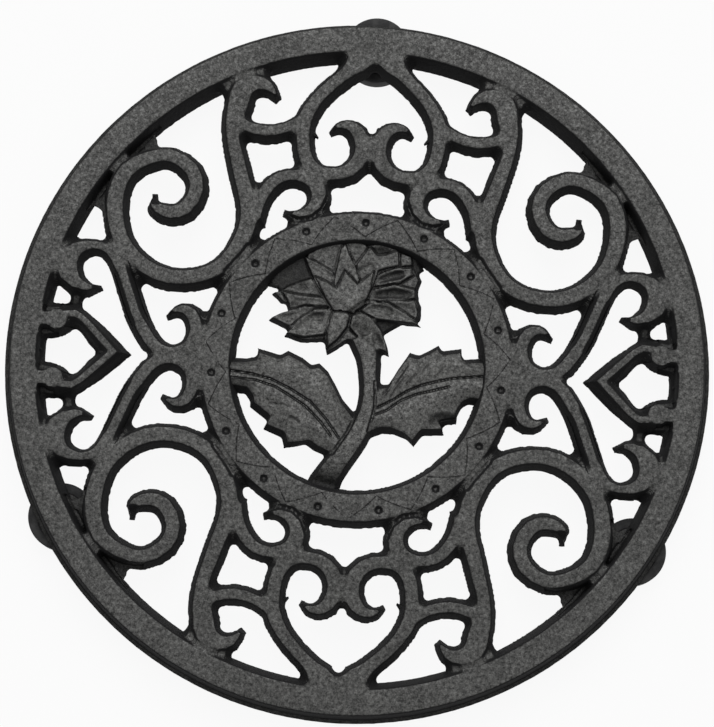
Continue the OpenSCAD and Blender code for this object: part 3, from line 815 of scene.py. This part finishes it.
flowerNodes = ["flower_head", "flower_stem", "leaf_left", "leaf_right"]
castFlower = copyOf(flowerNodes[1:], "castFlower")
reachIntoRing(castFlower)
makeFlowerHead().select_set(True)
castFlower.select_set(True)
bpy.context.view_layer.objects.active = castFlower
bpy.ops.object.join()
fuse(castFlower, flowerPiece["voxel"], flowerPiece["fillet"])
carvePetals(castFlower)
carveLeaves(castFlower)
roughen(castFlower, flowerPiece["roughness"])
lighten(castFlower)
print("flower cast")

for piece, nodes in castQuarters + [(castRim, ["rim"]), (castFlower, flowerNodes),
                                    (castPegs, ["foot_peg_%d" % i for i in footNumbers])]:
    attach(piece, "root")
    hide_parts(*nodes)

# rubber feet, pushed over the pegs
rubberFoot = {
    "wall": 2.8 * mm,
    "edge": 0.9 * mm,            # rounding of the outer edges
    "treadInset": 2.6 * mm,      # plain border under the foot
    "treadDepth": 0.35 * mm,
    "bevelAngle": 50,
    "smoothAngle": 40,
}


def makeRubberFoot(i):
    low, high = (Vector(corner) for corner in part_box("rubber_foot_%d" % i))
    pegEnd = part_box("foot_peg_%d" % i)[0][2]
    centre = (low + high) / 2
    radius = (high.x - low.x) / 2
    height = high.z - low.z
    deselect()
    bpy.ops.mesh.primitive_cylinder_add(vertices=96, radius=radius, depth=height, location=centre)
    foot = bpy.context.object
    foot.name = "rubberFoot%d" % i
    bpy.ops.object.transform_apply(location=True, rotation=True, scale=True)
    bpy.ops.object.mode_set(mode="EDIT")
    bpy.ops.mesh.select_mode(type="FACE")
    selectFaces(foot, lambda at, normal: normal.z > 0.9)
    bpy.ops.mesh.inset(thickness=rubberFoot["wall"], depth=0)
    bpy.ops.mesh.extrude_region_move(TRANSFORM_OT_translate={"value": (0, 0, pegEnd - high.z)})
    selectFaces(foot, lambda at, normal: normal.z < -0.9)
    bpy.ops.mesh.inset(thickness=rubberFoot["treadInset"], depth=0)
    bpy.ops.mesh.inset(thickness=rubberFoot["treadDepth"], depth=-rubberFoot["treadDepth"])
    bpy.ops.object.mode_set(mode="OBJECT")
    bevel(foot, rubberFoot["edge"] / 2, 4, rubberFoot["bevelAngle"])
    shadeSmooth(foot, rubberFoot["smoothAngle"])
    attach(foot, "root")
    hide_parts("rubber_foot_%d" % i)
    return foot


feet = [makeRubberFoot(i) for i in footNumbers]
print("rubber feet made")


class Wire:
    # a node's socket in the expressions below
    def __init__(self, paint, socket):
        self.paint = paint
        self.socket = socket

    def __add__(self, other):
        return self.paint.sum("ADD", self, other)

    def __radd__(self, other):
        return self.paint.sum("ADD", other, self)

    def __sub__(self, other):
        return self.paint.sum("SUBTRACT", self, other)

    def __rsub__(self, other):
        return self.paint.sum("SUBTRACT", other, self)

    def __mul__(self, other):
        return self.paint.sum("MULTIPLY", self, other)

    def __rmul__(self, other):
        return self.paint.sum("MULTIPLY", other, self)

    def __pow__(self, other):
        return self.paint.sum("POWER", self, other)


class Paint:
    # the nodes of one material or world under construction
    def __init__(self, owner):
        self.owner = owner
        owner.use_nodes = True
        self.nodes = owner.node_tree.nodes
        self.links = owner.node_tree.links

    def feed(self, socket, value):
        if isinstance(value, Wire):
            self.links.new(value.socket, socket)
        elif isinstance(value, (tuple, list)) and len(value) == 3 and socket.type == "RGBA":
            socket.default_value = (*value, 1)
        else:
            socket.default_value = value

    def node(self, kind, settings={}, values={}, output=0):
        made = self.nodes.new(kind)
        for key, value in settings.items():
            setattr(made, key, value)
        for key, value in values.items():
            self.feed(made.inputs[key], value)
        return Wire(self, made.outputs[output])

    def sum(self, operation, first, second=0.0):
        return self.node("ShaderNodeMath", {"operation": operation}, {0: first, 1: second})

    def set(self, **values):
        surface = self.nodes["Principled BSDF"]
        for key, value in values.items():
            self.feed(surface.inputs[key.replace("_", " ")], value)

    def objectCoordinates(self):
        return self.node("ShaderNodeTexCoord", output="Object")

    def noise(self, place, size, detail=2, roughness=0.5):
        # size is the length of one blotch, in metres
        return self.node("ShaderNodeTexNoise", values={"Vector": place, "Scale": 1 / size,
                                                       "Detail": detail, "Roughness": roughness})

    def between(self, value, low, high, fromValue=0.0, toValue=1.0):
        return self.node("ShaderNodeMapRange", {"interpolation_type": "SMOOTHSTEP"},
                         {"Value": value, "From Min": low, "From Max": high,
                          "To Min": fromValue, "To Max": toValue})

    def blend(self, amount, first, second, mode="MIX"):
        return self.node("ShaderNodeMix", {"data_type": "RGBA", "blend_type": mode},
                         {0: amount, 6: first, 7: second}, output=2)


def shade(level):
    # a screen grey, 0 to 255, as the linear number that Blender wants
    share = level / 255
    return share / 12.92 if share <= 0.04045 else ((share + 0.055) / 1.055) ** 2.4


def tinted(level, tint=(1, 1, 1)):
    # the same grey as a colour, times its shares of red, green and blue
    return tuple(shade(level) * share for share in tint)


blackIron = {
    "paintedLitTopGrey": 76,               # painted light: screen grey of the faces that look up, lighter as if lit from above
    "paintedShadeWallGrey": 27,              # painted shade: grey of the steep walls, darker as if out of the light
    "paintedPitShadeGrey": 34,
    # shares of these greys in red, green and blue: a little less blue where the lacquer is old
    "wornTint": (0.9, 0.9, 0.87),
    "paintedSheenTint": (1.5, 1.5, 1.44),
    "pitTint": (1, 1, 0.97),
    "wallTint": (1, 1, 1.03),
    "facing": (0.72, 0.96),      # of walls and of tops: how much a face looks up; between these the painted wall shade turns into the painted light of the tops
    "deepShade": 0.4,            # painted shade: how much of the grey is left far below the top
    "deepFrom": 2.4 * mm,        # heights over the back between which that painted shade fades out
    "deepTo": 4.6 * mm,
    "speckle": 0.42 * mm,        # sizes of the finish's three patterns
    "pebble": 1.0 * mm,
    "mottle": 6 * mm,
    "paintedPitShade": (0.33, 0.53),        # where in the pattern the pits end: painted shade in the low spots of the bump
    "sheen": (0.48, 0.68),       # and where the polished spots begin, which get the lacquer coat and a painted highlight in their colour
    "mottled": (0.6, 0.8),       # brightness of the darkest patches, and how much more the others can have
    "engraved": 0.75,            # painted shade: how much darker the engraved zigzag's line on the ring is
    "bumpDepth": 0.25 * mm,
    "engravedBump": 1.5,
    "roughness": 0.5,
    "roughSpread": 0.3,
    "wallRoughness": 0.9,
    "specular": 0.15,
    "gloss": 0.7,                # lacquer on the worn tops
    "glossRoughness": 0.34,
}


def engravedZigzag(paint, place):
    # 1 on the lines of the ring's zigzag, 0 elsewhere; folds lie between the dimples
    across = paint.node("ShaderNodeSeparateXYZ", values={0: place}, output="X")
    upward = paint.node("ShaderNodeSeparateXYZ", values={0: place}, output="Y")
    radius = (across * across + upward * upward) ** 0.5
    turn = paint.sum("ARCTAN2", across, upward) * (ringPattern["count"] / (2 * math.pi))
    fold = paint.sum("PINGPONG", turn, 0.5) * 2
    outer, inner = ringPattern["outer"], ringPattern["inner"]
    halfPitch = math.pi / ringPattern["count"] * (outer + inner) / 2
    slant = math.cos(math.atan2(outer - inner, halfPitch))
    away = paint.sum("ABSOLUTE", radius - (inner + (outer - inner) * fold)) * slant
    worn = paint.between(paint.noise(place, ringPattern["wearSize"], 2), *ringPattern["wear"])
    return paint.between(away, ringPattern["lineWidth"] * 0.4, ringPattern["lineWidth"], 1.0, 0.0) * worn


flowerIron = {
    **blackIron,
    # painted light on the flower's tops, a little lighter than on the scrolls
    "paintedLitTopGrey": 86,
    "facing": (0.45, 0.90),      # its petals and leaves slope, so its painted wall shade starts on steeper faces
    # deeper painted shade in the flower's low bed and plates
    "deepShade": 0.2,
}


def makeIron(name, iron):
    paint = Paint(bpy.data.materials.new(name))
    place = paint.objectCoordinates()
    normal = paint.node("ShaderNodeNewGeometry", output="True Normal")
    facing = paint.node("ShaderNodeSeparateXYZ", values={0: normal}, output="Z")
    height = paint.node("ShaderNodeSeparateXYZ", values={0: place}, output="Z")
    # painted light and shade: faces that look up get the lighter top grey, steep walls the dark wall grey
    top = paint.between(facing, *iron["facing"])
    # painted shade: darker the further a face lies below the top
    high = paint.between(height, castBack + iron["deepFrom"], castBack + iron["deepTo"], iron["deepShade"], 1.0)
    fine = paint.noise(place, iron["speckle"], 2, 0.7)
    pebble = paint.noise(place, iron["pebble"], 2, 0.6)
    mottle = paint.noise(place, iron["mottle"], 3)
    engraved = engravedZigzag(paint, place)
    grain = fine * 0.5 + pebble * 0.5
    # painted shade in the pits and painted highlight on the polished high spots of the grain that also makes the
    # bump
    paintedPitShade = paint.between(grain, *iron["paintedPitShade"])
    sheen = paint.between(grain, *iron["sheen"])
    # the top grey with painted shade in the pits
    worn = paint.blend(paintedPitShade, tinted(iron["paintedPitShadeGrey"], iron["pitTint"]), tinted(iron["paintedLitTopGrey"], iron["wornTint"]))
    withPaintedSheen = paint.blend(sheen, worn, tinted(iron["paintedLitTopGrey"], iron["paintedSheenTint"]))
    darkest, more = iron["mottled"]
    # random mottle, times the painted shade of deep places and of the engraved zigzag line
    mottleAndPaintedShade = (darkest + more * mottle) * high * (1 - iron["engraved"] * engraved)
    paintedLightAndMottle = paint.blend(1.0, withPaintedSheen, mottleAndPaintedShade, "MULTIPLY")
    # the steep walls take the painted shade grey, the tops the painted light with its pattern
    color = paint.blend(top, tinted(iron["paintedShadeWallGrey"], iron["wallTint"]), paintedLightAndMottle)
    bump = paint.node("ShaderNodeBump", values={"Strength": 1.0, "Distance": iron["bumpDepth"],
                                                "Height": grain - iron["engravedBump"] * engraved})
    roughTop = iron["roughness"] + iron["roughSpread"] * (pebble - 0.5)
    rough = iron["wallRoughness"] + top * (roughTop - iron["wallRoughness"])
    paint.set(Base_Color=color, Roughness=rough, Normal=bump, Specular_IOR_Level=iron["specular"],
              Coat_Weight=top * high * sheen * iron["gloss"], Coat_Roughness=iron["glossRoughness"])
    return paint.owner


footRubber = {
    "cleanGrey": 38,             # screen greys of clean rubber and of the dust on it
    "dustGrey": 62,
    "cleanTint": (1, 1, 1.04),
    "dust": 2.5 * mm,            # size of the dusty patches, and where in their pattern they lie
    "dusty": (0.35, 0.75),
    "grain": 0.25 * mm,
    "bumpDepth": 0.05 * mm,
    "bumpStrength": 0.4,
    "roughness": 0.7,
    "roughSpread": 0.15,
    "specular": 0.3,
}


def makeRubber():
    paint = Paint(bpy.data.materials.new("footRubber"))
    place = paint.objectCoordinates()
    dust = paint.noise(place, footRubber["dust"], 4, 0.6)
    grain = paint.noise(place, footRubber["grain"], 2)
    clean = tinted(footRubber["cleanGrey"], footRubber["cleanTint"])
    color = paint.blend(paint.between(dust, *footRubber["dusty"]), clean, tinted(footRubber["dustGrey"]))
    bump = paint.node("ShaderNodeBump", values={"Strength": footRubber["bumpStrength"],
                                                "Distance": footRubber["bumpDepth"], "Height": grain})
    rough = footRubber["roughness"] + footRubber["roughSpread"] * dust
    paint.set(Base_Color=color, Roughness=rough, Normal=bump, Specular_IOR_Level=footRubber["specular"])
    return paint.owner


ironMaterial = makeIron("blackIron", blackIron)
petalMaterial = makeIron("flowerIron", flowerIron)
rubberMaterial = makeRubber()
for piece in [scrolls for scrolls, nodes in castQuarters] + [castRim, castFlower, castPegs]:
    piece.data.materials.clear()
    piece.data.materials.append(petalMaterial if piece == castFlower else ironMaterial)
for foot in feet:
    foot.data.materials.clear()
    foot.data.materials.append(rubberMaterial)
print("materials made")

studio = {
    "floorSize": 3.0,
    "floorGrey": 0.6,
    "floorGlow": 0.92,           # share of the floor that glows white instead of taking shadow
    "zenithLevel": 0.62,         # light from above and from the sides
    "horizonLevel": 0.12,
    "zenithFrom": 0.8,           # from this height in the sky, 0 to 1, it is as above
    "lampPower": 13.0,
    "lampSize": 1.0,
    "lampPlace": (-0.02, 0.70, 1.17),
}


def makeFloor():
    deselect()
    bpy.ops.mesh.primitive_plane_add(size=studio["floorSize"], location=(0, 0, 0))
    floor = bpy.context.object
    floor.name = "floor"
    paint = Paint(bpy.data.materials.new("paleFloor"))
    rays = {}
    for kind in ("Is Camera Ray", "Is Glossy Ray", "Is Transmission Ray"):
        rays[kind] = paint.node("ShaderNodeLightPath", output=kind)
    seen = paint.node("ShaderNodeMath", {"operation": "ADD", "use_clamp": True},
                      {0: rays["Is Camera Ray"] + rays["Is Glossy Ray"], 1: rays["Is Transmission Ray"]})
    white = paint.node("ShaderNodeBsdfDiffuse", values={"Color": (studio["floorGrey"],) * 3})
    glow = paint.node("ShaderNodeEmission", values={"Color": (1, 1, 1), "Strength": 1.0})
    surface = paint.node("ShaderNodeMixShader", values={0: seen * studio["floorGlow"], 1: white, 2: glow})
    paint.links.new(surface.socket, paint.nodes["Material Output"].inputs["Surface"])
    floor.data.materials.append(paint.owner)


def makeLights():
    paint = Paint(bpy.data.worlds.new("studioWorld"))
    bpy.context.scene.world = paint.owner
    direction = paint.node("ShaderNodeTexCoord", output="Generated")
    upward = paint.node("ShaderNodeSeparateXYZ", values={0: direction}, output="Z")
    sky = paint.node("ShaderNodeMapRange", values={"Value": upward, "From Max": studio["zenithFrom"],
                                                   "To Min": studio["horizonLevel"],
                                                   "To Max": studio["zenithLevel"]})
    # the camera sees it white
    seen = paint.sum("MAXIMUM", paint.node("ShaderNodeLightPath", output="Is Camera Ray"),
                     paint.node("ShaderNodeLightPath", output="Is Transmission Ray"))
    background = paint.nodes["Background"]
    paint.feed(background.inputs["Color"], (1, 1, 1))
    paint.feed(background.inputs["Strength"], paint.sum("MAXIMUM", sky, seen))
    bpy.ops.object.light_add(type="AREA", location=studio["lampPlace"])
    lamp = bpy.context.object
    lamp.name = "softLamp"
    lamp.data.size = studio["lampSize"]
    lamp.data.energy = studio["lampPower"]
    lamp.rotation_euler = (-lamp.location).to_track_quat("-Z", "Y").to_euler()


photoView = {
    "place": (6.8 * mm, -113.8 * mm, 887.6 * mm),
    "aim": (-0.1 * mm, 1.6 * mm, 10 * mm),
    "up": (-0.0612, 0.9898, 0.129),
    "focalLength": 154.8,
    "sensor": 36,
}


def makeCamera():
    place, aim, up = (Vector(photoView[key]) for key in ("place", "aim", "up"))
    back = (place - aim).normalized()
    right = up.cross(back).normalized()
    turn = Matrix((right, back.cross(right), back)).transposed()
    bpy.ops.object.camera_add()
    camera = bpy.context.object
    camera.matrix_world = Matrix.Translation(place) @ turn.to_4x4()
    camera.data.sensor_fit = "VERTICAL"
    camera.data.sensor_height = photoView["sensor"]
    camera.data.lens = photoView["focalLength"]
    camera.data.clip_start = 0.01
    bpy.context.scene.camera = camera


makeFloor()
makeLights()
makeCamera()
bpy.context.scene.view_settings.view_transform = "Standard"
print("stage set")
